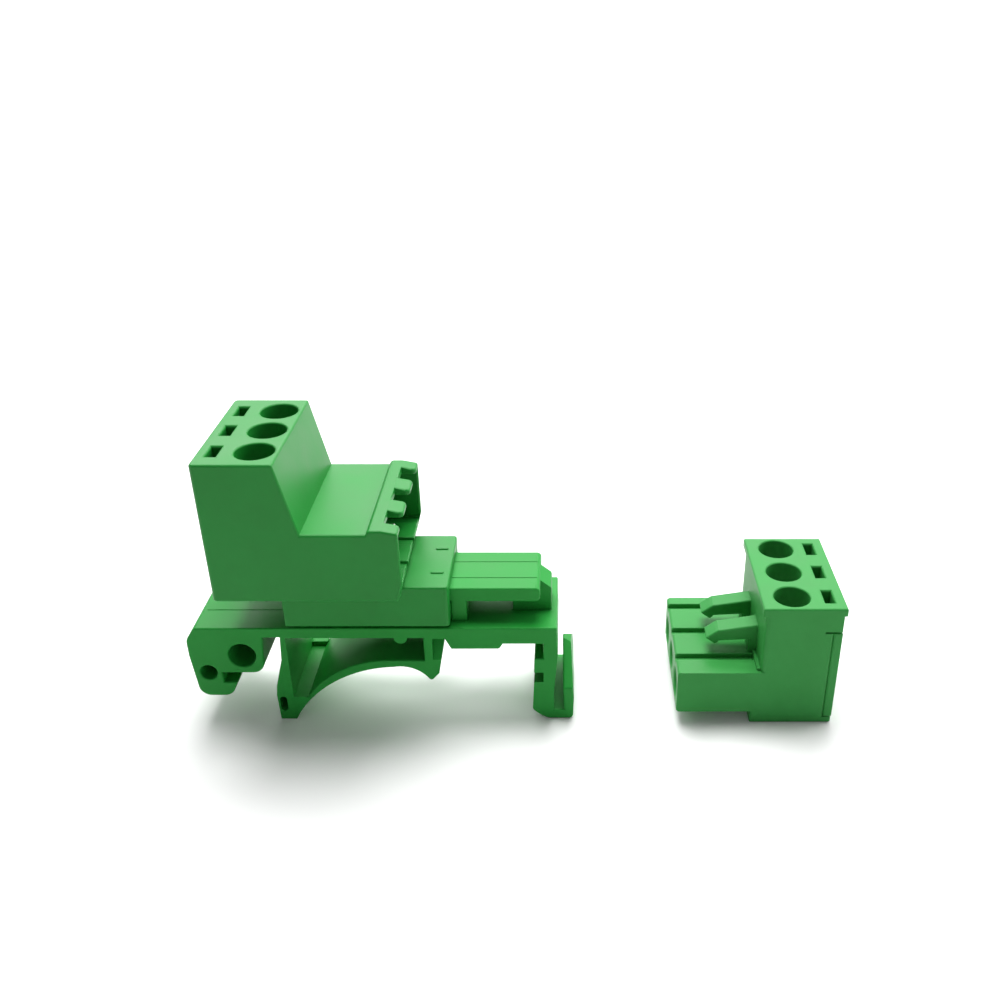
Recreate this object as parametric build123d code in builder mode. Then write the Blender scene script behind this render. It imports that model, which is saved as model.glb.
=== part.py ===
"""Pluggable terminal block for a 35 mm mounting rail, with its free plug, in millimetres.

The fixed half is a screw-clamp header on a carriage, which is slid onto the T-rail of a moulded
rail foot. The plug stands beside it, wire side away. X runs from the foot's end block towards
the plug, Z is up from the table, and Y is across the poles.
"""

from build123d import *
import os

# Poles, common to both halves
pole_pitch = 5.08
pole_count = 3

# Clamp terminal: u runs from the wire side, z from the terminal's base
screw_u = 5.6
screw_head_r = 1.85
screw_head_h = 1.6
screw_shank_r = 1.45
screw_slot_w = 0.5
screw_slot_depth = 0.8
screw_slot_turn = 30
shoulder_t = 0.5
cage_l = 4.6
cage_wall = 0.4
cage_floor_t = 0.65
cage_nut_t = 1.5
cage_lift = 2.5
wire_gap = 2.8
wire_bore_r = 1.3
wire_funnel_r = 1.85
wire_funnel_depth = 0.35
bar_t = 0.8
bar_w = 2.6
bar_end_play = 0.3
bar_step_l = 1.4
bar_step_gap = 0.2
pocket_floor_t = 1.0
cover_t = 1.0
cover_below = 0.6
cover_seam = 0.15
cover_peg_r = 0.35
cover_peg_l = 0.8
pin_size = 1.0
pin_z = 3.78
pin_tip_chamfer = 0.25
moving_play = 0.1
cut_past = 1.0
select_tol = 0.01
seat_play = 0.05
thread_play = 0.05
peg_play = 0.03
screw_top_play = 0.35
screw_tip_play = 0.25
test_slot_l = 1.05
test_slot_w = 2.4

# Plug
plug_h = 15.1
plug_body_front_u = 8.62
plug_body_round = 0.6
plug_plate_front_u = 8.97
plug_plate_t = 1.0
plug_cover_u = 0.25
plug_cover_h = 12.0
plug_sill_h = 0.85
plug_test_u = 1.7
plug_slit_u = 2.1
plug_slit_h = 0.15
plug_slit_depth = 0.5
nose_u = 17.66
nose_top = 6.8
nose_step_u = 9.4
nose_step_h = 1.48
nose_lead = 0.2
nose_bore_r = 1.5
nose_rim = 0.25
nose_groove_w = 1.0
nose_groove_depth = 0.55
nose_groove_shift = 0.6
plug_guide_w = 0.6
plug_guide_h = 0.25
plug_guide_l = 4.0
bead_u = 9.0
bead_h = 0.3
bead_inset = 0.5
fork_tine_t = 0.5
fork_w = 1.5
fork_flare = 0.15
fork_flare_l = 0.8
fork_web_l = 0.9
fork_tip_inset = 0.75
fork_root_u = 9.3
hook_w = 2.2
hook_root_z = 10.5
hook_under_z = 8.45
hook_web_u = 9.52
hook_shoulder_u = 12.92
hook_shoulder_z = 9.68
hook_shoulder_l = 0.31
hook_shoulder_drop = 0.19
hook_tip_u = 14.34
hook_tip_z = 8.65
hook_barb_u = 13.17
hook_barb_z = 7.8
hook_barb_l = 0.37
hook_barb_rise = 0.18

# Header
header_wall = 0.6
header_top = 33.0
header_low_top = 25.32
header_lip_top = 25.78
header_lip_front_top = 25.45
header_top_l = 8.01
header_slope_u = 9.75
header_lip_u = 16.25
header_lip_rise_l = 0.3
header_lip_flat_l = 1.5
header_front_u = 19.43
header_bottom = 17.54
header_corner_r = 0.45
header_cover_inset = 0.3
header_test_u = 1.56
socket_play = 0.08
socket_floor_t = 1.46
socket_h = 5.85
socket_back_u = 10.7
socket_back_t = 0.8
socket_chamfer = 0.45
socket_chamfer_h = 1.8
floor_relief = 0.31
floor_relief_y0 = 1.0
floor_relief_y1 = 2.5
floor_relief_start = 0.5
floor_groove_l = 8.0
floor_groove_depth = 0.3
lip_slot_w = 2.45
lip_slot_depth = 1.6
lip_tab_r = 0.5
pin_tip_u = 17.9

# Carriage between the header and the foot
carriage_u0 = 6.11
carriage_u1 = 23.69
carriage_w = 11.2
carriage_bottom = 12.62
carriage_corner_r = 0.4
carriage_end_wall = 1.3
carriage_peg_r = 1.0
carriage_peg_h = 0.6
carriage_peg_u = 8.2
carriage_rib_u = 22.3
carriage_rib_l = 1.4
carriage_rib_w = 0.4
carriage_rib_h = 0.12

# Rail foot: deck and end block
foot_w = 10.6
foot_left = -4.93
deck_left = -3.9
deck_right_gap = 1.53
deck_top = 12.22
deck_t = 1.25
deck_pad_l = 6.23
deck_pad_slope = 0.34
deck_pad_z = 9.55
deck_end_z = 10.12
block_corner_drop = 1.6
block_side_z = 8.6
block_taper = 0.5
block_bottom_z = 3.25
block_toe_u = -0.95
block_right_u = 3.0
block_round = 1.3
block_overlap = 0.35
dowel_u = 0.86
dowel_z = 8.65
dowel_r = 1.48
dowel_small_u = -3.1
dowel_small_z = 6.4
dowel_small_r = 0.93

# Rail foot: notches that hold the rail
rail_w = 35.2
rail_notch_left = -1.61
rail_notch_h = 1.28
rail_seat_u = 0.45
rail_seat_z = 6.35
rail_bite = 1.05
rail_notch_past = 0.5
leg_relief_h = 1.9

# Rail foot: left leg, spring arch and hook post
leg_top_u = 5.2
leg_top_lean = 0.45
leg_shin_lean = 0.2
leg_shin_h = 3.5
leg_knee_z = 4.45
toe_u = 4.05
toe_lean = 0.1
toe_break_h = 0.9
arch_u = 5.8
arch_crown_u = 17.2
arch_crown_z = 7.05
arch_t = 0.95
arch_pocket_z = 3.05
arch_pocket_l = 1.6
sill_h = 0.6
sill_w = 0.8
sill_l = 1.9
toe_slot_u = 4.6
toe_slot_z = 2.1
toe_slot_w = 0.8
toe_slot_h = 2.0
post_gap = 3.45
post_w = 2.3
post_tip_inset = 0.55
post_tip_drop = 1.9
post_tip_round = 0.3
post_heel_inset = 0.8
post_heel_h = 1.05
post_lean = 0.1
post_lean_h = 0.77
post_relief_w = 1.35
post_relief_z = 8.1
post_relief_depth = 1.6
post_relief_gap = 0.15
post_flare = 0.7
stop_gap = 2.42
stop_r = 0.72

# Rail foot: release lever
lever_root_inset = 1.36
lever_right_gap = 1.73
lever_heel_z = 2.8
lever_top_z = 7.62
lever_lean = 0.12
lever_t = 0.95
lever_shoulder_z = 4.2
lever_tip_w = 0.7
lever_slot_inset = 0.4
lever_slot_w = 1.09
lever_slot_z = 1.26
lever_tip_round = 0.3
lever_root_round = 1.2
lever_heel_round = 0.5
leg_root_h = 0.3
leg_lean = 0.1
leg_bend_z = 5.0
leg_heel_z = 1.3
leg_heel_lean = 0.2
leg_heel_round = 0.6
leg_waist_z = 4.0
leg_waist_in = 0.03
leg_waist_out = 0.08
leg_shoulder_drop = 1.1

# Rail foot: T-rail
tee_u0 = 7.6
tee_web_w = 4.4
tee_w = 7.76
tee_lip_z = 14.7
tee_top = 16.36
tee_slot_gap = 1.71
tee_window_inset = 4.92
tee_prong_inset = 1.82
tee_prong_round = 0.5
tee_block_w = 3.36
tee_block_inset = 0.62
tee_block_slope = 1.6
tee_block_drop = 1.3
tee_block_overlap = 0.5
tee_crease_w = 0.12
tee_crease_depth = 0.06
deck_crease_gap = 1.0

# Where the plug stands beside the header: its rear edge in X and its mid-plane in Y
plug_stand_x = 65.96
plug_stand_y = 1.56

# Sizes that follow from those above
plug_w = pole_pitch * pole_count
header_w = plug_w + 2 * (socket_play + header_wall)
header_cover_w = plug_w - 2 * header_cover_inset
pole_places = [(i - (pole_count - 1) / 2) * pole_pitch for i in range(pole_count)]
between_poles = [(i - (pole_count - 2) / 2) * pole_pitch for i in range(pole_count - 1)]

cage_w = 2 * (screw_shank_r + moving_play + cage_wall)
cage_z0 = pocket_floor_t + moving_play
bar_z0 = cage_z0 + cage_floor_t + wire_gap
bar_z1 = bar_z0 + bar_t
nut_z0 = bar_z1 + screw_tip_play
cage_z1 = nut_z0 + cage_nut_t
pocket_top = cage_z1 + cage_lift + screw_top_play
shoulder_z = pocket_top + shoulder_t
head_z0 = shoulder_z + seat_play
wire_z = bar_z0 - wire_gap / 2
peg_z = (pocket_floor_t + pocket_top) / 2
head_bore_r = screw_head_r + moving_play
shank_bore_r = screw_shank_r + moving_play
pocket_w = cage_w + 2 * moving_play
pocket_u1 = screw_u + cage_l / 2 + moving_play
bar_step_u = pocket_u1 + bar_step_gap
slot_w = bar_w + 2 * moving_play
fork_gap = pin_size / 2 + peg_play
fork_half_h = fork_gap + fork_tine_t
rail_notch_right = rail_notch_left + rail_w
leg_left = rail_notch_right - rail_bite
deck_under = deck_top - deck_t
deck_right = rail_notch_right + deck_right_gap
deck_pad_u = deck_right - deck_pad_l
post_u0 = arch_crown_u + post_gap
post_u1 = post_u0 + post_w
post_tip_u = post_u0 + post_tip_inset
post_tip_z = arch_crown_z - post_tip_drop
post_relief_u = post_u1 - post_relief_w
stop_u = post_u0 - stop_gap
lever_root_u = leg_left + lever_root_inset
lever_right_u = deck_right + lever_right_gap
lever_slot_u0 = deck_right - lever_slot_inset
lever_slot_u1 = lever_slot_u0 + lever_slot_w
tee_slot_u0 = carriage_u1 + tee_slot_gap
tee_window_u1 = deck_right - tee_window_inset
tee_prong_u1 = deck_right - tee_prong_inset
tee_block_end_u = deck_right - tee_block_inset
tee_block_u = tee_block_end_u - tee_block_slope

# Places of the two halves: x, y, z of the local origin, and the way that u runs along X
centre_x = (foot_left + plug_stand_x) / 2
near_y = -header_w / 2
far_y = plug_stand_y + plug_w / 2
centre_y = (near_y + far_y) / 2
header = (-centre_x, -centre_y, 0.0, 1)
header_clamps = (-centre_x, -centre_y, header_bottom + seat_play, 1)
plug = (plug_stand_x - centre_x, plug_stand_y - centre_y, 0.0, -1)


def upright(place, across=0.0):
    """Vertical plane along a half: local x is u and local y is height."""
    x, y, z, way = place
    return Plane(origin=(x, y + across, z), x_dir=(way, 0, 0), z_dir=(0, -way, 0))


def level(place, height):
    """Level plane at a height: local x is u and local y is across the poles."""
    x, y, z, way = place
    return Plane(origin=(x, y, z + height), x_dir=(way, 0, 0), z_dir=(0, 0, 1))


def facing(place, along):
    """Plane square to u: local x is across the poles and local y is height."""
    x, y, z, way = place
    return Plane(origin=(x + way * along, y, z), x_dir=(0, way, 0), z_dir=(way, 0, 0))


def corner(x, y):
    """The sketch vertex nearest to a point."""
    return vertices().sort_by_distance((x, y, 0))[0]


def spot(place, along, across, height):
    """A point of a half as a point of the whole part."""
    x, y, z, way = place
    return (x + way * along, y + across, z + height)


def upright_edges(part, x):
    """The vertical straight edges of a part that lie at one place along X."""
    return [edge for edge in part.edges().filter_by(Axis.Z) if abs(edge.center().X - x) < select_tol]


def clamp_screw(place, across):
    """Cheese-head clamp screw, turned, with a driver slot."""
    middle = spot(place, screw_u, across, 0)
    head_z1 = head_z0 + screw_head_h
    with BuildPart() as screw:
        with BuildSketch(Plane(origin=middle, x_dir=(1, 0, 0), z_dir=(0, -1, 0))):
            with BuildLine():
                Polyline(
                    (0, nut_z0), (screw_shank_r, nut_z0), (screw_shank_r, head_z0),
                    (screw_head_r, head_z0), (screw_head_r, head_z1), (0, head_z1), close=True,
                )
            make_face()
        revolve(axis=Axis(middle, (0, 0, 1)))
        with BuildSketch(level(place, head_z1)):
            with Locations((screw_u, place[3] * across)):
                Rectangle(3 * screw_head_r, screw_slot_w, rotation=screw_slot_turn)
        extrude(amount=-screw_slot_depth, mode=Mode.SUBTRACT)
    return screw.part


def clamp_cage(place, across):
    """Rising cage: a square tube round the contact bar, whose thick top is the screw's nut."""
    with BuildPart() as cage:
        with BuildSketch(facing(place, screw_u - cage_l / 2)):
            with Locations((place[3] * across, (cage_z0 + cage_z1) / 2)):
                Rectangle(cage_w, cage_z1 - cage_z0)
            with Locations((place[3] * across, (cage_z0 + cage_floor_t + nut_z0) / 2)):
                Rectangle(cage_w - 2 * cage_wall, nut_z0 - cage_z0 - cage_floor_t, mode=Mode.SUBTRACT)
        extrude(amount=cage_l)
        with Locations(spot(place, screw_u, across, cage_z1)):
            Hole(screw_shank_r + thread_play, depth=cage_nut_t + screw_tip_play)
    return cage.part


def header_pin(place, across):
    """Contact bar of the header, stepped down to a square pin that reaches into the socket."""
    pin_u = bar_step_u + bar_step_l
    with BuildPart() as pin:
        with BuildSketch(upright(place, across)):
            with Locations((cover_t + bar_end_play, bar_z0)):
                Rectangle(
                    bar_step_u - cover_t - bar_end_play, bar_t, align=(Align.MIN, Align.MIN)
                )
        extrude(amount=bar_w / 2, both=True)
        with BuildSketch(upright(place, across)):
            with BuildLine():
                Polyline(
                    (screw_u, bar_z1), (bar_step_u, bar_z1), (pin_u, pin_z + pin_size / 2),
                    (pin_tip_u, pin_z + pin_size / 2), (pin_tip_u, pin_z - pin_size / 2),
                    (pin_u - bar_t / 2, pin_z - pin_size / 2), (bar_step_u - bar_t / 2, bar_z0),
                    (screw_u, bar_z0), close=True,
                )
            make_face()
        extrude(amount=pin_size / 2, both=True)
        chamfer(pin.faces().sort_by(Axis.X)[-1].edges(), pin_tip_chamfer)
    return pin.part


def plug_contact(place, across):
    """Contact bar of the plug, stepped down to a two-tined fork in the nose."""
    bar_u0 = plug_cover_u + cover_t + bar_end_play
    tip_u = nose_u - fork_tip_inset
    flare_u = tip_u - fork_flare_l
    web_u = fork_root_u + fork_web_l
    with BuildPart() as contact:
        with BuildSketch(upright(place, across)):
            with Locations((bar_u0, bar_z0)):
                Rectangle(bar_step_u - bar_u0, bar_t, align=(Align.MIN, Align.MIN))
        extrude(amount=bar_w / 2, both=True)
        with BuildSketch(upright(place, across)):
            with BuildLine():
                Polyline(
                    (screw_u, bar_z1), (bar_step_u, bar_z1), (fork_root_u, pin_z + fork_half_h),
                    (flare_u, pin_z + fork_half_h), (tip_u, pin_z + fork_half_h + fork_flare),
                    (tip_u, pin_z + fork_gap + 2 * fork_flare), (flare_u, pin_z + fork_gap),
                    (web_u, pin_z + fork_gap), (web_u, pin_z - fork_gap), (flare_u, pin_z - fork_gap),
                    (tip_u, pin_z - fork_gap - 2 * fork_flare),
                    (tip_u, pin_z - fork_half_h - fork_flare), (flare_u, pin_z - fork_half_h),
                    (fork_root_u, pin_z - fork_half_h), (bar_step_u, bar_z0), (screw_u, bar_z0),
                    close=True,
                )
            make_face()
        extrude(amount=fork_w / 2, both=True)
    return contact.part


def wire_cover(place, u0, z0, z1, width):
    """Push-in cover of the wire side, with a funnel for each wire and pegs between the poles."""
    with BuildPart() as cover:
        with BuildSketch(facing(place, u0 + cover_t)):
            with Locations((0, (z0 + z1) / 2)):
                Rectangle(width, z1 - z0)
        extrude(amount=-cover_t)
        chamfer(upright_edges(cover, spot(place, u0 + cover_t, 0, 0)[0]), cover_seam)
        for across in pole_places:
            with BuildSketch(facing(place, u0)):
                with Locations((across, wire_z)):
                    Circle(wire_funnel_r)
            with BuildSketch(facing(place, u0 + wire_funnel_depth)):
                with Locations((across, wire_z)):
                    Circle(wire_bore_r)
            loft(mode=Mode.SUBTRACT)
            with BuildSketch(facing(place, u0)):
                with Locations((across, wire_z)):
                    Circle(wire_bore_r)
            extrude(amount=cover_t, mode=Mode.SUBTRACT)
        with BuildSketch(facing(place, u0 + cover_t)):
            with Locations(*[(across, peg_z) for across in between_poles]):
                Circle(cover_peg_r)
        extrude(amount=cover_peg_l)
    return cover.part


def cut_clamp_pockets(place, cover_u, top, test_u):
    """Cuts what the clamps need into the current housing: pockets, screw holes, test slots."""
    pocket_u0 = cover_u + cover_t
    with BuildSketch(level(place, pocket_floor_t)) as pockets:
        with Locations(*[((pocket_u0 + pocket_u1) / 2, across) for across in pole_places]):
            Rectangle(pocket_u1 - pocket_u0, pocket_w)
    extrude(pockets.sketch, amount=pocket_top - pocket_floor_t, mode=Mode.SUBTRACT)
    with Locations(*[spot(place, screw_u, across, top) for across in pole_places]):
        CounterBoreHole(
            shank_bore_r, head_bore_r, top - shoulder_z, depth=top - pocket_top + shoulder_t / 2
        )
    with BuildSketch(level(place, top)) as test_slots:
        with Locations(*[(test_u, across) for across in pole_places]):
            Rectangle(test_slot_l, test_slot_w)
    extrude(test_slots.sketch, amount=pocket_top - top, mode=Mode.SUBTRACT)
    with BuildSketch(facing(place, pocket_u0)) as peg_holes:
        with Locations(*[(across, peg_z) for across in between_poles]):
            Circle(cover_peg_r + peg_play)
    extrude(peg_holes.sketch, amount=cover_peg_l + moving_play, mode=Mode.SUBTRACT)


# Rail foot: one moulding with the deck, the end block, two legs, the spring arch and the T-rail
with BuildPart() as rail_foot:
    with BuildSketch(upright(header)):
        with BuildLine():
            Polyline(
                (deck_left, deck_top), (foot_left, deck_top - block_corner_drop),
                (foot_left, block_side_z), (foot_left + block_taper, block_bottom_z),
                (block_toe_u, block_bottom_z), (rail_seat_u, rail_seat_z),
                (block_right_u, rail_seat_z), (block_right_u + block_overlap, deck_under),
                (block_right_u + block_overlap, deck_top), close=True,
            )
        make_face()
        fillet(corner(foot_left, deck_top - block_corner_drop), block_round)
        fillet(corner(foot_left, block_side_z), 2 * block_round)
        fillet(corner(foot_left + block_taper, block_bottom_z), block_round)
        fillet(corner(block_toe_u, block_bottom_z), block_round)
        fillet(corner(block_right_u, rail_seat_z), block_round)
        fillet(corner(rail_seat_u, rail_seat_z), 0.3 * block_round)
        fillet(corner(deck_left, deck_top), 0.3 * block_round)
    extrude(amount=foot_w / 2, both=True)

    # Deck, thin over the arch and thick towards the T-rail
    with BuildSketch(upright(header)):
        with BuildLine():
            Polyline(
                (block_right_u, deck_top), (block_right_u, deck_under), (post_u1, deck_under),
                (post_u1 + post_flare, deck_pad_z), (deck_pad_u, deck_pad_z),
                (deck_pad_u + deck_pad_slope, deck_end_z),
                (deck_right, deck_end_z), (deck_right, deck_top), close=True,
            )
        make_face()
    extrude(amount=foot_w / 2, both=True)

    # Left leg with its toe, run into the spring arch and up to the hook post
    arch_quarter = (0.6 * arch_u + 0.4 * arch_crown_u, 0.7 * arch_crown_z)
    hook_middle = (
        0.4 * arch_crown_u + 0.6 * post_tip_u, arch_crown_z - 0.174 * post_tip_drop
    )
    pocket_right_u = arch_u + arch_pocket_l
    pocket_top_z = arch_crown_z + arch_t
    pocket_middle = (
        0.612 * pocket_right_u + 0.388 * arch_crown_u, 0.293 * arch_pocket_z + 0.707 * pocket_top_z
    )
    with BuildSketch(upright(header)):
        with BuildLine():
            Polyline(
                (leg_top_u - leg_top_lean, deck_top), (leg_top_u, deck_under),
                (leg_top_u - leg_shin_lean, leg_knee_z + leg_shin_h), (toe_u, leg_knee_z),
                (toe_u - toe_lean, leg_knee_z - toe_break_h), (toe_u, 0), (arch_u, 0),
            )
            ThreePointArc((arch_u, 0), arch_quarter, (arch_crown_u, arch_crown_z))
            ThreePointArc((arch_crown_u, arch_crown_z), hook_middle, (post_tip_u, post_tip_z))
            Polyline(
                (post_tip_u, post_tip_z), (post_u1 - post_heel_inset, post_tip_z + post_heel_h),
                (post_u1 - post_lean, deck_under - post_lean_h), (post_u1, deck_under),
                (post_u1, deck_top), (leg_top_u - leg_top_lean, deck_top),
            )
        make_face()
        with BuildLine():
            Polyline(
                (post_u0, deck_under), (arch_u, deck_under), (arch_u, arch_pocket_z),
                (pocket_right_u, arch_pocket_z),
            )
            ThreePointArc(
                (pocket_right_u, arch_pocket_z), pocket_middle, (arch_crown_u, pocket_top_z)
            )
            Polyline((arch_crown_u, pocket_top_z), (post_u0, pocket_top_z), (post_u0, deck_under))
        make_face(mode=Mode.SUBTRACT)
        fillet(corner(post_tip_u, post_tip_z), post_tip_round)
        with Locations((toe_slot_u, toe_slot_z)):
            SlotOverall(toe_slot_h, toe_slot_w, rotation=90, mode=Mode.SUBTRACT)
    extrude(amount=foot_w / 2, both=True)

    # Low sill along the far edge of the pocket beside the leg
    with BuildSketch(upright(header, foot_w / 2)):
        with Locations((arch_u, arch_pocket_z)):
            Rectangle(sill_l, sill_h, align=(Align.MIN, Align.MIN))
    extrude(amount=sill_w)

    # Half-round stop under the deck, and a sloping relief in both faces of the hook post
    with BuildSketch(upright(header)):
        with Locations((stop_u, deck_under)):
            Circle(stop_r)
    extrude(amount=foot_w / 2, both=True)
    for side in (1, -1):
        with BuildSketch(facing(header, post_relief_u)):
            with BuildLine():
                Polyline(
                    (side * foot_w / 2, post_relief_z),
                    (side * (foot_w / 2 - post_relief_depth), deck_under - post_relief_gap),
                    (side * (foot_w / 2 + cut_past), deck_under - post_relief_gap),
                    (side * (foot_w / 2 + cut_past), post_relief_z), close=True,
                )
            make_face()
        extrude(amount=post_u1 - post_relief_u, mode=Mode.SUBTRACT)

    # Right leg, folded back up into the release lever, which narrows to a tongue
    with BuildSketch(upright(header)):
        with BuildLine():
            Polyline(
                (leg_left + leg_lean, deck_end_z + leg_root_h), (leg_left, leg_bend_z),
                (leg_left - leg_heel_lean, leg_heel_z), (lever_root_u, 0), (lever_right_u, 0),
                (lever_right_u + leg_lean, lever_heel_z),
                (lever_slot_u1 + lever_t - lever_lean, lever_top_z - lever_tip_round),
                (lever_slot_u1 - lever_lean, lever_top_z), (lever_slot_u1, lever_slot_z),
                (lever_slot_u0, lever_slot_z), (lever_slot_u0 + leg_waist_in, leg_waist_z),
                (deck_right + leg_waist_out, deck_end_z - leg_shoulder_drop),
                (deck_right, deck_end_z), (deck_right, deck_end_z + leg_root_h), close=True,
            )
        make_face()
        fillet(corner(leg_left - leg_heel_lean, leg_heel_z), leg_heel_round)
        fillet(corner(lever_root_u, 0), lever_root_round)
        fillet(corner(lever_right_u, 0), lever_heel_round)
        fillet(
            corner(lever_slot_u1 + lever_t - lever_lean, lever_top_z - lever_tip_round),
            lever_tip_round,
        )
    extrude(amount=foot_w / 2, both=True)
    for side in (1, -1):
        with BuildSketch(facing(header, (deck_right + lever_slot_u1) / 2)):
            with BuildLine():
                Polyline(
                    (side * lever_tip_w / 2, lever_top_z), (side * foot_w / 2, lever_shoulder_z),
                    (side * (foot_w / 2 + cut_past), lever_shoulder_z),
                    (side * (foot_w / 2 + cut_past), lever_top_z + cut_past),
                    (side * lever_tip_w / 2, lever_top_z + cut_past), close=True,
                )
            make_face()
        extrude(amount=3 * lever_t, mode=Mode.SUBTRACT)

    # Rail notches, their upper faces level with the rail seat, and the upper relief of the leg
    with BuildSketch(upright(header)):
        with Locations((rail_notch_left, rail_seat_z)):
            Rectangle(
                rail_seat_u + rail_notch_past - rail_notch_left, rail_notch_h,
                align=(Align.MIN, Align.MAX),
            )
        with Locations((rail_notch_right, rail_seat_z)):
            Rectangle(rail_bite + rail_notch_past, rail_notch_h, align=(Align.MAX, Align.MAX))
        with Locations((rail_notch_right, deck_end_z)):
            Rectangle(rail_bite + rail_notch_past, leg_relief_h, align=(Align.MAX, Align.MAX))
    extrude(amount=foot_w / 2, both=True, mode=Mode.SUBTRACT)
    with BuildSketch(upright(header)):
        with Locations((dowel_u, dowel_z)):
            Circle(dowel_r)
        with Locations((dowel_small_u, dowel_small_z)):
            Circle(dowel_small_r)
    extrude(amount=foot_w / 2, both=True, mode=Mode.SUBTRACT)

    # T-rail: web, lips split into two prongs and a stop block at the open end
    with BuildSketch(facing(header, tee_u0)):
        with Locations((0, (deck_top + tee_top) / 2)):
            Rectangle(tee_web_w, tee_top - deck_top)
        with Locations((0, (tee_lip_z + tee_top) / 2)):
            Rectangle(tee_w, tee_top - tee_lip_z)
    extrude(amount=carriage_u1 - tee_u0)
    with BuildSketch(upright(header)):
        with BuildLine():
            Polyline(
                (carriage_u1, deck_top), (carriage_u1, tee_top), (tee_prong_u1, tee_top),
                (tee_prong_u1, tee_lip_z), (tee_slot_u0, tee_lip_z), (tee_slot_u0, deck_top),
                close=True,
            )
        make_face()
        fillet(corner(tee_prong_u1, tee_top), tee_prong_round)
        fillet(corner(tee_prong_u1, tee_lip_z), tee_prong_round)
    extrude(amount=tee_w / 2, both=True)
    with BuildSketch(upright(header)):
        with BuildLine():
            Polyline(
                (tee_slot_u0 - tee_block_overlap, deck_top),
                (tee_slot_u0 - tee_block_overlap, tee_top), (tee_block_u, tee_top),
                (tee_block_end_u, tee_top - tee_block_drop), (tee_block_end_u, deck_top), close=True,
            )
        make_face()
        with Locations((tee_slot_u0, deck_top)):
            Rectangle(
                tee_window_u1 - tee_slot_u0, tee_lip_z - deck_top,
                align=(Align.MIN, Align.MIN), mode=Mode.SUBTRACT,
            )
    extrude(amount=tee_block_w / 2, both=True)
    with BuildSketch(level(header, tee_top)):
        with Locations(*[((carriage_u1 + tee_prong_u1) / 2, side * tee_block_w / 2) for side in (1, -1)]):
            Rectangle(tee_prong_u1 - carriage_u1, tee_crease_w)
    extrude(amount=-tee_crease_depth, mode=Mode.SUBTRACT)
    with BuildSketch(level(header, deck_top)):
        with Locations(*[((deck_left + carriage_u0) / 2, side * tee_block_w / 2) for side in (1, -1)]):
            Rectangle(carriage_u0 - deck_left - deck_crease_gap, tee_crease_w)
    extrude(amount=-tee_crease_depth, mode=Mode.SUBTRACT)

# Carriage: block with a T-groove, open towards the plug, and pegs for the header above it
with BuildPart() as carriage:
    with BuildSketch(upright(header)):
        with Locations((carriage_u0, carriage_bottom)):
            Rectangle(
                carriage_u1 - carriage_u0, header_bottom - carriage_bottom, align=(Align.MIN, Align.MIN)
            )
    extrude(amount=carriage_w / 2, both=True)
    fillet(carriage.edges().filter_by(Axis.Z).group_by(Axis.X)[-1], carriage_corner_r)
    with BuildSketch(facing(header, carriage_u1)):
        with Locations((0, carriage_bottom)):
            Rectangle(
                tee_web_w + 2 * seat_play, tee_top + seat_play - carriage_bottom,
                align=(Align.CENTER, Align.MIN),
            )
        with Locations((0, tee_lip_z - seat_play)):
            Rectangle(
                tee_w + 2 * seat_play, tee_top - tee_lip_z + 2 * seat_play,
                align=(Align.CENTER, Align.MIN),
            )
    extrude(amount=carriage_u0 + carriage_end_wall - carriage_u1, mode=Mode.SUBTRACT)
    with BuildSketch(level(header, header_bottom)):
        with Locations(*[(carriage_peg_u, across) for across in between_poles]):
            Circle(carriage_peg_r)
    extrude(amount=carriage_peg_h)
    with BuildSketch(level(header, header_bottom)):
        with Locations(*[(carriage_rib_u, across) for across in between_poles]):
            Rectangle(carriage_rib_l, carriage_rib_w)
    extrude(amount=carriage_rib_h)

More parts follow.
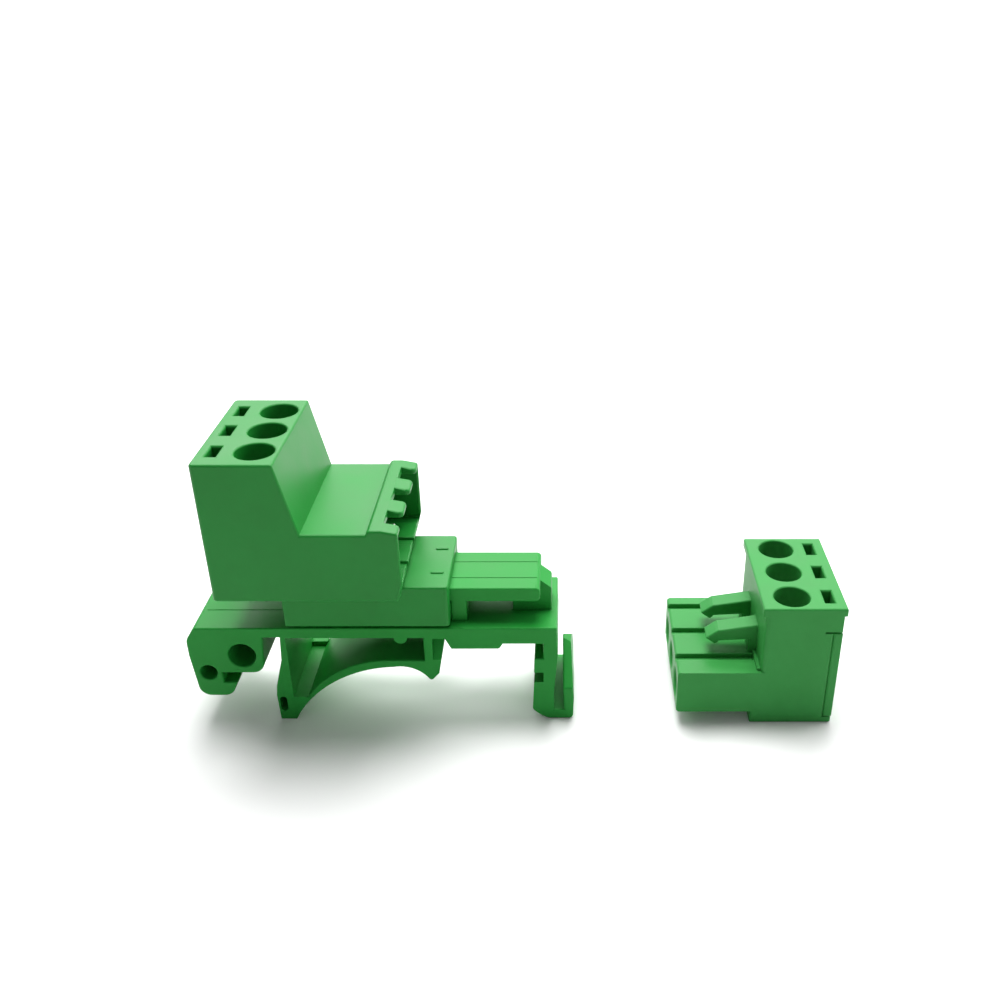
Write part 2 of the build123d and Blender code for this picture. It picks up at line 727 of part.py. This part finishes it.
# Header housing: wire block, sloping shoulder and open socket with a notched latching lip
socket_floor_z = header_bottom + socket_floor_t
header_cover_z0 = pocket_floor_t - cover_below
with BuildPart() as header_housing:
    with BuildSketch(upright(header)):
        with BuildLine():
            Polyline(
                (0, header_bottom), (0, header_top), (header_top_l, header_top),
                (header_slope_u, header_low_top), (header_lip_u, header_low_top),
                (header_lip_u + header_lip_rise_l, header_lip_top),
                (header_lip_u + header_lip_flat_l, header_lip_top),
                (header_front_u, header_lip_front_top),
                (header_front_u, header_bottom + socket_chamfer_h),
                (header_front_u - socket_chamfer, header_bottom), close=True,
            )
        make_face()
    extrude(amount=header_w / 2, both=True)
    fillet(header_housing.edges().filter_by(Axis.Z).group_by(Axis.X)[0], header_corner_r)
    with BuildSketch(facing(header, header_front_u)):
        with Locations((0, socket_floor_z)):
            Rectangle(plug_w + 2 * socket_play, socket_h, align=(Align.CENTER, Align.MIN))
    extrude(amount=socket_back_u - header_front_u, mode=Mode.SUBTRACT)
    with BuildSketch(level(header, header_lip_top)):
        with Locations(*[(header_front_u - lip_slot_depth, across) for across in pole_places]):
            Rectangle(lip_slot_depth + cut_past, lip_slot_w, align=(Align.MIN, Align.CENTER))
    extrude(amount=socket_floor_z + socket_h - header_lip_top - moving_play, mode=Mode.SUBTRACT)
    front_x = spot(header, header_front_u, 0, 0)[0]
    tab_edges = [
        edge
        for edge in upright_edges(header_housing, front_x)
        if edge.center().Z > socket_floor_z + socket_h
        and abs(edge.center().Y - header[1]) < header_w / 2 - select_tol
    ]
    fillet(tab_edges, lip_tab_r)

    # Scalloped front edge and a shallow groove beside each pin in the socket's floor
    for across in pole_places:
        with BuildSketch(level(header, header_bottom)):
            with BuildLine():
                Polyline(
                    (header_front_u, across - floor_relief_start),
                    (header_front_u - floor_relief, across + floor_relief_y0),
                    (header_front_u - floor_relief, across + floor_relief_y1),
                    (header_front_u + cut_past, across + floor_relief_y1),
                    (header_front_u + cut_past, across - floor_relief_start), close=True,
                )
            make_face()
        extrude(amount=socket_floor_t, mode=Mode.SUBTRACT)
    with BuildSketch(level(header, socket_floor_z)):
        with Locations(*[(header_front_u, across + floor_relief_y1) for across in pole_places]):
            Rectangle(
                floor_groove_l, floor_relief_y1 - floor_relief_y0, align=(Align.MAX, Align.MAX)
            )
    extrude(amount=-floor_groove_depth, mode=Mode.SUBTRACT)

    with BuildSketch(facing(header_clamps, 0)):
        with Locations((0, (header_cover_z0 + pocket_top) / 2)):
            Rectangle(
                header_cover_w + 2 * seat_play, pocket_top - header_cover_z0 + 2 * seat_play
            )
    extrude(amount=cover_t, mode=Mode.SUBTRACT)
    cut_clamp_pockets(header_clamps, 0, header_top - header_clamps[2], header_test_u)
    with BuildSketch(facing(header_clamps, pocket_u1)):
        with Locations(*[(across, (pin_z - pin_size / 2 + bar_z1) / 2) for across in pole_places]):
            Rectangle(slot_w, bar_z1 - pin_z + pin_size / 2 + 2 * moving_play)
    extrude(amount=socket_back_u - socket_back_t - pocket_u1, mode=Mode.SUBTRACT)
    with BuildSketch(facing(header_clamps, pocket_u1)):
        with Locations(*[(across, pin_z) for across in pole_places]):
            Rectangle(pin_size + seat_play, pin_size + seat_play)
    extrude(amount=socket_back_u - pocket_u1, mode=Mode.SUBTRACT)
    with BuildSketch(level(header, header_bottom)):
        with Locations(*[(carriage_peg_u, across) for across in between_poles]):
            Circle(carriage_peg_r + seat_play)
    extrude(amount=carriage_peg_h + moving_play, mode=Mode.SUBTRACT)

header_cover = wire_cover(header_clamps, 0, header_cover_z0, pocket_top, header_cover_w)

# Plug housing: body, top plate, nose with a bore for each pin, two latch hooks, and grooves
# below that run over the carriage's ribs
plug_rear_u = plug_cover_u + seat_play
plug_seam_u = plug_cover_u + cover_t
plate_z0 = plug_h - plug_plate_t
nose_root_u = plug_body_front_u - plug_body_round
with BuildPart() as plug_housing:
    with BuildSketch(upright(plug)):
        with BuildLine():
            Polyline(
                (plug_rear_u, 0), (plug_rear_u, plug_sill_h - seat_play),
                (plug_seam_u, plug_sill_h - seat_play), (plug_seam_u, plug_cover_h + seat_play),
                (plug_rear_u, plug_cover_h + seat_play), (plug_rear_u, plate_z0),
                (plug_body_front_u, plate_z0), (plug_body_front_u, 0), close=True,
            )
        make_face()
    extrude(amount=plug_w / 2, both=True)
    fillet(upright_edges(plug_housing, spot(plug, plug_body_front_u, 0, 0)[0]), plug_body_round)
    chamfer(upright_edges(plug_housing, spot(plug, plug_seam_u, 0, 0)[0]), cover_seam)
    with BuildSketch(upright(plug)):
        with Locations((0, plate_z0)):
            Rectangle(plug_plate_front_u, plug_plate_t, align=(Align.MIN, Align.MIN))
    extrude(amount=plug_w / 2, both=True)
    for side in (1, -1):
        with BuildSketch(upright(plug, side * (plug_w / 2 - plug_slit_depth))):
            with Locations((0, plug_cover_h)):
                Rectangle(plug_slit_u, plug_slit_h, align=(Align.MIN, Align.MIN))
        extrude(amount=side * (plug_slit_depth + cut_past), mode=Mode.SUBTRACT)
    with BuildSketch(upright(plug)):
        with BuildLine():
            Polyline(
                (nose_root_u, 0), (nose_step_u, 0), (nose_step_u, nose_step_h),
                (nose_u - nose_lead, nose_step_h), (nose_u, nose_step_h + nose_lead),
                (nose_u, nose_top - nose_lead), (nose_u - nose_lead, nose_top),
                (nose_root_u, nose_top), close=True,
            )
        make_face()
    extrude(amount=plug_w / 2, both=True)
    with BuildSketch(level(plug, 0)):
        with Locations(*[(nose_step_u, across) for across in between_poles]):
            Rectangle(plug_guide_l, plug_guide_w, align=(Align.MAX, Align.CENTER))
    extrude(amount=plug_guide_h, mode=Mode.SUBTRACT)
    with BuildSketch(level(plug, nose_top)):
        with Locations(*[(nose_u, across - nose_groove_shift) for across in pole_places]):
            Rectangle(
                nose_u - plug_body_front_u, nose_groove_w, align=(Align.MAX, Align.CENTER)
            )
    extrude(amount=-nose_groove_depth, mode=Mode.SUBTRACT)
    with BuildSketch(upright(plug)):
        with Locations((bead_u, nose_top + bead_h)):
            Rectangle(bead_u - nose_root_u, bead_h + nose_groove_depth, align=(Align.MAX, Align.MAX))
    extrude(amount=plug_w / 2 - bead_inset, both=True)
    for across in between_poles:
        with BuildSketch(upright(plug, across)):
            with BuildLine():
                Polyline(
                    (nose_root_u, hook_root_z), (hook_shoulder_u, hook_shoulder_z),
                    (hook_shoulder_u + hook_shoulder_l, hook_shoulder_z - hook_shoulder_drop),
                    (hook_tip_u, hook_tip_z), (hook_barb_u, hook_barb_z),
                    (hook_barb_u - hook_barb_l, hook_under_z - hook_barb_rise),
                    (hook_web_u, hook_under_z), (hook_web_u, nose_top - bead_h),
                    (nose_root_u, nose_top - bead_h), close=True,
                )
            make_face()
        extrude(amount=hook_w / 2, both=True)
    with BuildSketch(facing(plug, nose_u)):
        with Locations(*[(across, pin_z) for across in pole_places]):
            Circle(nose_bore_r)
    extrude(amount=fork_root_u - bar_step_gap - nose_u, mode=Mode.SUBTRACT)
    mouth_x = spot(plug, nose_u, 0, 0)[0]
    mouths = [
        edge
        for edge in plug_housing.edges().filter_by(GeomType.CIRCLE)
        if abs(edge.center().X - mouth_x) < select_tol and abs(edge.radius - nose_bore_r) < select_tol
    ]
    chamfer(mouths, nose_rim)
    cut_clamp_pockets(plug, plug_cover_u, plug_h, plug_test_u)
    fork_slot_z0 = pin_z - fork_half_h - moving_play
    with BuildSketch(facing(plug, pocket_u1)):
        with Locations(*[(across, (fork_slot_z0 + bar_z1) / 2) for across in pole_places]):
            Rectangle(slot_w, bar_z1 - fork_slot_z0 + 2 * moving_play)
    extrude(amount=fork_root_u - pocket_u1, mode=Mode.SUBTRACT)

plug_cover = wire_cover(plug, plug_cover_u, plug_sill_h, plug_cover_h, plug_w)

pieces = {
    "rail_foot": rail_foot.part,
    "carriage": carriage.part,
    "header_housing": header_housing.part,
    "header_cover": header_cover,
    "plug_housing": plug_housing.part,
    "plug_cover": plug_cover,
}
for number, across in enumerate(pole_places, start=1):
    pieces[f"header_pin_{number}"] = header_pin(header_clamps, across)
    pieces[f"header_cage_{number}"] = clamp_cage(header_clamps, across)
    pieces[f"header_screw_{number}"] = clamp_screw(header_clamps, across)
    pieces[f"plug_contact_{number}"] = plug_contact(plug, across)
    pieces[f"plug_cage_{number}"] = clamp_cage(plug, across)
    pieces[f"plug_screw_{number}"] = clamp_screw(plug, across)

os.makedirs("parts", exist_ok=True)
for name, piece in pieces.items():
    piece.label = name
    export_step(piece, f"parts/{name}.step")
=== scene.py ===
"""Looks of a pluggable terminal block on its rail foot, with its free plug beside it.

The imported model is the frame: every CAD piece keeps its place and gets softened edges and a moulded
or metal finish. Metres, X along the foot, Y across the poles, Z up.
"""

import math

import bmesh
import bpy
from mathutils import Matrix, Vector
from mathutils.bvhtree import BVHTree
from mathutils.geometry import intersect_point_line
from mathutils.kdtree import KDTree

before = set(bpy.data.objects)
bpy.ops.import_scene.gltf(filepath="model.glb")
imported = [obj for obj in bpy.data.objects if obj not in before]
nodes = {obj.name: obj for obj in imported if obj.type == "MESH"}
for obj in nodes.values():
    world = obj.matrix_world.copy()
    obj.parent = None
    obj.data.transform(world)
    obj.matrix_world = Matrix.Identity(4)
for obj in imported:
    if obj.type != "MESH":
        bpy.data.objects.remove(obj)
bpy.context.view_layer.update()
scene = bpy.context.scene
MM = 0.001

# The photograph's camera: place in mm, angles in radians, focal length and centre in its pixels
PHOTO_SIDE = 1000
CAMERA_MM = (5.847, -99.812, 76.696)
PITCH, YAW, ROLL = 0.49956, 0.004415, -0.001741
FOCAL_PX = 1058.663
CENTRE_PX = (572.750, 520.741)
SENSOR_MM = 36
CLIP = (0.005, 10)

# Edge rounding
WELD = 2e-6  # corners this near are one corner
KEYS_PER_METRE = 2e5  # corners are told apart in steps of 5 micrometres
SHARP_ANGLE = math.radians(32)  # outer edges from here on are rounded
CREASE_ANGLE = math.radians(2)  # edges from here on take room from their neighbours
ROOM_SHARE = 0.42  # of the distance to the next edge
MOST_SAMPLES = 400  # along one edge
ASKEW = 0.5  # how far a neighbour may lie along the edge and still be beside it
CROSSING = 0.7  # a crease under this share of parallel only crosses a face's tessellation
STRAIGHT = math.cos(math.radians(25))  # edges closer than this in direction run on
RUN = 2  # widths after which an edge is long enough for full rounding at its ends
MENDS = 5  # passes, at most, that take the rounding off where it went wrong
STAND_OFF = 0.6  # widths that a good rounding may lie from the CAD surface
TURNED = 0.2  # least agreement of a rounded face with the CAD face under it
TOWARDS_CORNER = 0.6  # where a face is tested, on the way from its middle
LEAST_AREA = 1e-9  # square metres; a smaller face doesn't show
REACH = 1.5  # widths from a stray corner within which edges are left sharp

FLOOR_RADIUS = 4.0
FLOOR_SIDES = 64
FLOOR_MIRRORED = 0.3  # of its whiteness, in glossy reflections
WORLD_LEVEL = 0.22  # as light; seen directly it is white


def make_camera():
    """The camera that the photograph's own corners were fitted to."""
    forward = Vector((
        math.sin(YAW) * math.cos(PITCH), math.cos(YAW) * math.cos(PITCH), -math.sin(PITCH),
    ))
    right = Vector((math.cos(YAW), -math.sin(YAW), 0))
    down = forward.cross(right)
    right, down = (
        math.cos(ROLL) * right + math.sin(ROLL) * down,
        math.cos(ROLL) * down - math.sin(ROLL) * right,
    )
    data = bpy.data.cameras.new("camera")
    data.sensor_width = SENSOR_MM
    data.lens = FOCAL_PX * SENSOR_MM / PHOTO_SIDE
    data.shift_x = 0.5 - CENTRE_PX[0] / PHOTO_SIDE
    data.shift_y = CENTRE_PX[1] / PHOTO_SIDE - 0.5
    data.clip_start, data.clip_end = CLIP
    camera = bpy.data.objects.new("camera", data)
    turn = Matrix((right, -down, -forward)).transposed().to_4x4()
    camera.matrix_world = Matrix.Translation(Vector(CAMERA_MM) * MM) @ turn
    scene.collection.objects.link(camera)
    scene.camera = camera


def adder(tree):
    """A helper that adds nodes to a tree: a socket as an input is linked, a value is set."""

    def add(kind, inputs=(), **settings):
        node = tree.nodes.new(kind)
        for key, value in settings.items():
            setattr(node, key, value)
        for key, value in dict(inputs).items():
            if isinstance(value, bpy.types.NodeSocket):
                tree.links.new(value, node.inputs[key])
            else:
                node.inputs[key].default_value = value
        return node

    return add


def shader(name):
    """A new node material with its Principled shader, and the helper that adds nodes to it."""
    material = bpy.data.materials.new(name)
    material.use_nodes = True
    tree = material.node_tree
    return material, tree, tree.nodes["Principled BSDF"], adder(tree)


def ramp(add, factor, stops):
    """A colour ramp from (position, colour) pairs; a colour may be one grey value."""
    node = add("ShaderNodeValToRGB", {"Fac": factor})
    for element, (position, colour) in zip(node.color_ramp.elements, stops):
        element.position = position
        element.color = (*colour, 1) if isinstance(colour, tuple) else (colour, colour, colour, 1)
    return node.outputs["Color"]


def noise(add, place, scale, detail, roughness=0.5):
    return add(
        "ShaderNodeTexNoise",
        {"Vector": place, "Scale": scale, "Detail": detail, "Roughness": roughness},
    ).outputs["Fac"]


def surface(name, light, dark, rough, blotches, relief):
    """Colour and roughness follow one noise, the bump another."""
    material, tree, principled, add = shader(name)
    place = add("ShaderNodeTexCoord").outputs["Object"]
    cloud = noise(add, place, *blotches)
    tree.links.new(ramp(add, cloud, ((0.3, dark), (0.7, light))), principled.inputs["Base Color"])
    tree.links.new(
        ramp(add, cloud, ((0.3, rough[0]), (0.7, rough[1]))), principled.inputs["Roughness"]
    )
    stretch, grain, strength, distance = relief
    if stretch:
        place = add("ShaderNodeMapping", {"Vector": place, "Scale": stretch}).outputs["Vector"]
    height = noise(add, place, *grain)
    bump = add("ShaderNodeBump", {"Height": height, "Strength": strength, "Distance": distance})
    tree.links.new(bump.outputs["Normal"], principled.inputs["Normal"])
    return material, principled


def plastic(name, light, dark, rough, gloss):
    """Moulded nylon: flow clouding, a fine spark-eroded grain and a patchy satin sheen."""
    material, principled = surface(
        name, light, dark, (rough - 0.04, rough + 0.05), (170.0, 3.0, 0.55),
        (None, (5200.0, 2.0, 0.6), 0.12, 0.00003),
    )
    principled.inputs["Specular IOR Level"].default_value = gloss
    return material


def metal(name, light, dark, rough):
    """Plated metal with drawn grain and faint blotches."""
    material, principled = surface(
        name, light, dark, (rough - 0.05, rough + 0.1), (900.0, 4.0, 0.6),
        ((1.0, 14.0, 14.0), (900.0, 3.0), 0.15, 0.00002),
    )
    principled.inputs["Metallic"].default_value = 1.0
    return material


def edge_key(ends):
    """The same key for an edge in the split and in the joined mesh."""
    return frozenset(tuple(round(c * KEYS_PER_METRE) for c in end) for end in ends)


def heading(edge, start):
    """The edge's direction away from its vertex start."""
    return (edge.other_vert(start).co - start.co).normalized()


def limit_by_distance(room, creases, widest):
    """Keeps each edge's rounding short of the other edges beside it."""
    samples = []
    for crease in creases:
        a, b = crease.verts[0].co, crease.verts[1].co
        steps = min(MOST_SAMPLES, max(1, math.ceil((b - a).length / (widest / 2))))
        samples += [(a.lerp(b, (k + 0.5) / steps), crease) for k in range(steps)]
    tree = KDTree(len(samples))
    for index, (point, crease) in enumerate(samples):
        tree.insert(point, index)
    tree.balance()
    for point, edge in samples:
        if edge not in room:
            continue
        along = heading(edge, edge.verts[0])
        for near, index, distance in tree.find_range(point, room[edge]):
            other = samples[index][1]
            if other is edge or abs((near - point).dot(along)) > ASKEW * distance:
                continue
            parallel = abs(heading(other, other.verts[0]).dot(along))
            if other.calc_face_angle() < SHARP_ANGLE and parallel < CROSSING:
                continue
            if not set(edge.verts) & set(other.verts):
                room[edge] = min(room[edge], distance)


def limit_by_length(room, creases, widest):
    """Keeps the rounding of an edge short of the far end of a short edge that it meets."""
    folded = set(creases)
    for edge in [edge for edge in creases if edge in room]:
        for corner in edge.verts:
            along = heading(edge, corner)
            length, last, tip, way = edge.calc_length(), edge, edge.other_vert(corner), along
            while length < RUN * widest:
                meeting = [
                    other for other in tip.link_edges if other in folded and other is not last
                ]
                onward = [
                    other for other in meeting
                    if other in room and heading(other, tip).dot(way) > STRAIGHT
                ]
                if not onward or len(meeting) > 1:
                    break
                last = onward[0]
                way = heading(last, tip)
                tip = last.other_vert(tip)
                length += last.calc_length()
            for other in corner.link_edges:
                if other in room and other is not edge:
                    if abs(heading(other, corner).dot(along)) < STRAIGHT:
                        room[other] = min(room[other], length)


def edge_shares(mesh, widest):
    """Each sharp edge's share of the widest rounding: none inside, less in tight places."""
    built = bmesh.new()
    built.from_mesh(mesh)
    bmesh.ops.remove_doubles(built, verts=built.verts, dist=WELD)
    creases = [
        edge for edge in built.edges
        if len(edge.link_faces) == 2 and edge.calc_face_angle(0) > CREASE_ANGLE
    ]
    sharp = [edge for edge in creases if edge.calc_face_angle() > SHARP_ANGLE]
    room = {edge: widest / ROOM_SHARE for edge in sharp if edge.is_convex}
    limit_by_distance(room, creases, widest)
    limit_by_length(room, creases, widest)
    shares = {
        edge_key(vert.co for vert in edge.verts): room.get(edge, 0) * ROOM_SHARE / widest
        for edge in sharp
    }
    built.free()
    return shares


def stray_corners(node, cad, width):
    """Corners of those rounded faces that stand off the CAD surface or are turned against it."""
    made = node.evaluated_get(bpy.context.evaluated_depsgraph_get())
    built = bmesh.new()
    built.from_mesh(made.to_mesh())
    made.to_mesh_clear()
    bmesh.ops.triangulate(built, faces=built.faces)
    corners = []
    for face in built.faces:
        if face.calc_area() < LEAST_AREA:
            continue
        middle = face.calc_center_median()
        for point in (middle, *(middle.lerp(vert.co, TOWARDS_CORNER) for vert in face.verts)):
            near = cad.find_nearest_range(point, STAND_OFF * width)
            if not near or max(normal.dot(face.normal) for _, normal, _, _ in near) < TURNED:
                corners += [vert.co.copy() for vert in face.verts]
                break
    built.free()
    return corners


def leave_sharp(mesh, weights, corners, reach):
    """Takes the rounding off each edge that passes within reach of one of the corners."""
    for edge, weight in zip(mesh.edges, weights):
        if weight.value == 0:
            continue
        a, b = (mesh.vertices[i].co for i in edge.vertices)
        for corner in corners:
            share = min(1, max(0, intersect_point_line(corner, a, b)[1]))
            if (a.lerp(b, share) - corner).length < reach:
                weight.value = 0
                edge.use_edge_sharp = True
                break


def soften(node, width):
    """Rounds a CAD piece's hard edges, as a mould or a deburring tool leaves them."""
    mesh = node.data
    shares = edge_shares(mesh, width)
    weights = mesh.attributes.new("bevel_weight_edge", "FLOAT", "EDGE")
    for edge, weight in zip(mesh.edges, weights.data):
        share = shares.get(edge_key(mesh.vertices[i].co for i in edge.vertices))
        weight.value = share or 0
        edge.use_edge_sharp = share == 0
    weld = node.modifiers.new("weld", "WELD")
    weld.merge_threshold = WELD
    bevel = node.modifiers.new("bevel", "BEVEL")
    bevel.width = width
    bevel.segments = 3
    bevel.limit_method = "WEIGHT"
    bevel.use_clamp_overlap = False
    bevel.loop_slide = False
    cad = BVHTree.FromPolygons(
        [vert.co for vert in mesh.vertices], [tuple(face.vertices) for face in mesh.polygons]
    )
    for _ in range(MENDS):
        corners = stray_corners(node, cad, width)
        if not corners:
            break
        leave_sharp(mesh, weights.data, corners, REACH * width)
        mesh.update()
    even = node.modifiers.new("even", "WEIGHTED_NORMAL")
    even.keep_sharp = True
    even.weight = 100


def finish(name, material, edge_mm):
    node = nodes[name]
    node.data.materials.clear()
    node.data.materials.append(material)
    soften(node, edge_mm * MM)


def lamp(name, place, target, width, height, watts):
    data = bpy.data.lights.new(name, "AREA")
    data.shape = "ELLIPSE"
    data.size, data.size_y = width, height
    data.energy = watts
    light = bpy.data.objects.new(name, data)
    light.location = place
    light.rotation_mode = "QUATERNION"
    light.rotation_quaternion = (Vector(target) - Vector(place)).to_track_quat("-Z", "Y")
    scene.collection.objects.link(light)


make_camera()

header_green = plastic("header_green", (0.012, 0.238, 0.031), (0.009, 0.210, 0.024), 0.42, 0.24)
foot_green = plastic("foot_green", (0.018, 0.280, 0.039), (0.014, 0.252, 0.031), 0.42, 0.15)
plug_green = plastic("plug_green", (0.038, 0.285, 0.058), (0.031, 0.258, 0.048), 0.42, 0.15)
tin = metal("tin", (0.70, 0.69, 0.66), (0.60, 0.59, 0.57), 0.25)
zinc = metal("zinc", (0.62, 0.62, 0.63), (0.50, 0.50, 0.52), 0.32)
steel = metal("steel", (0.66, 0.66, 0.67), (0.54, 0.54, 0.55), 0.28)

for name, material, edge_mm in (
    ("rail_foot", foot_green, 0.17),
    ("carriage", header_green, 0.20),
    ("header_housing", header_green, 0.22),
    ("header_cover", header_green, 0.12),
    ("plug_housing", plug_green, 0.20),
    ("plug_cover", plug_green, 0.12),
):
    finish(name, material, edge_mm)
for number in (1, 2, 3):
    for half, contact in (("header", "header_pin"), ("plug", "plug_contact")):
        finish(f"{contact}_{number}", tin, 0.04)
        finish(f"{half}_cage_{number}", zinc, 0.05)
        finish(f"{half}_screw_{number}", steel, 0.05)

# The table: it keeps the shadow near the object, and fades to white for the camera further out
angles = [i * math.tau / FLOOR_SIDES for i in range(FLOOR_SIDES)]
mesh = bpy.data.meshes.new("floor")
mesh.from_pydata(
    [(FLOOR_RADIUS * math.cos(a), FLOOR_RADIUS * math.sin(a), 0) for a in angles],
    [], [range(FLOOR_SIDES)],
)
floor = bpy.data.objects.new("floor", mesh)
scene.collection.objects.link(floor)
material, tree, principled, add = shader("floor")
principled.inputs["Base Color"].default_value = (0.86, 0.86, 0.86, 1)
principled.inputs["Roughness"].default_value = 0.7
principled.inputs["Specular IOR Level"].default_value = 0.1
principled.inputs["Emission Color"].default_value = (1, 1, 1, 1)
path = add("ShaderNodeLightPath").outputs
seen = add(
    "ShaderNodeMath", {0: path["Is Glossy Ray"], 1: FLOOR_MIRRORED}, operation="MULTIPLY"
).outputs[0]
for ray in ("Is Camera Ray", "Is Transmission Ray"):
    seen = add("ShaderNodeMath", {0: seen, 1: path[ray]}, operation="MAXIMUM").outputs[0]
middle = add("ShaderNodeTexCoord").outputs["Object"]
away = add("ShaderNodeVectorMath", {0: middle}, operation="LENGTH").outputs["Value"]
fade = add(
    "ShaderNodeMapRange",
    {"Value": away, "From Min": 0.04, "From Max": 0.30, "To Min": 0.03, "To Max": 1.0},
    interpolation_type="SMOOTHSTEP",
).outputs["Result"]
glow = add("ShaderNodeMath", {0: seen, 1: fade}, operation="MULTIPLY").outputs[0]
tree.links.new(glow, principled.inputs["Emission Strength"])
mesh.materials.append(material)

# The surroundings: white where they are seen, and a plain low level as light
world = bpy.data.worlds.new("world")
scene.world = world
world.use_nodes = True
tree = world.node_tree
add = adder(tree)
path = add("ShaderNodeLightPath").outputs
seen = add(
    "ShaderNodeMath",
    {0: path["Is Camera Ray"], 1: path["Is Transmission Ray"]}, operation="MAXIMUM",
).outputs[0]
level = add("ShaderNodeMix", {"Factor": seen, "A": WORLD_LEVEL, "B": 1.0}, data_type="FLOAT")
background = tree.nodes["Background"]
background.inputs["Color"].default_value = (1, 1, 1, 1)
tree.links.new(level.outputs["Result"], background.inputs["Strength"])

lamp("top", (-0.02, 0.13, 0.44), (0, 0, 0.01), 0.30, 0.30, 2.6)
lamp("back", (0.0, 0.48, 0.33), (0, 0, 0.02), 1.10, 0.24, 3.5)
lamp("right", (0.44, 0.16, 0.26), (0, 0, 0.02), 0.36, 0.36, 1.5)

scene.view_settings.view_transform = "Standard"
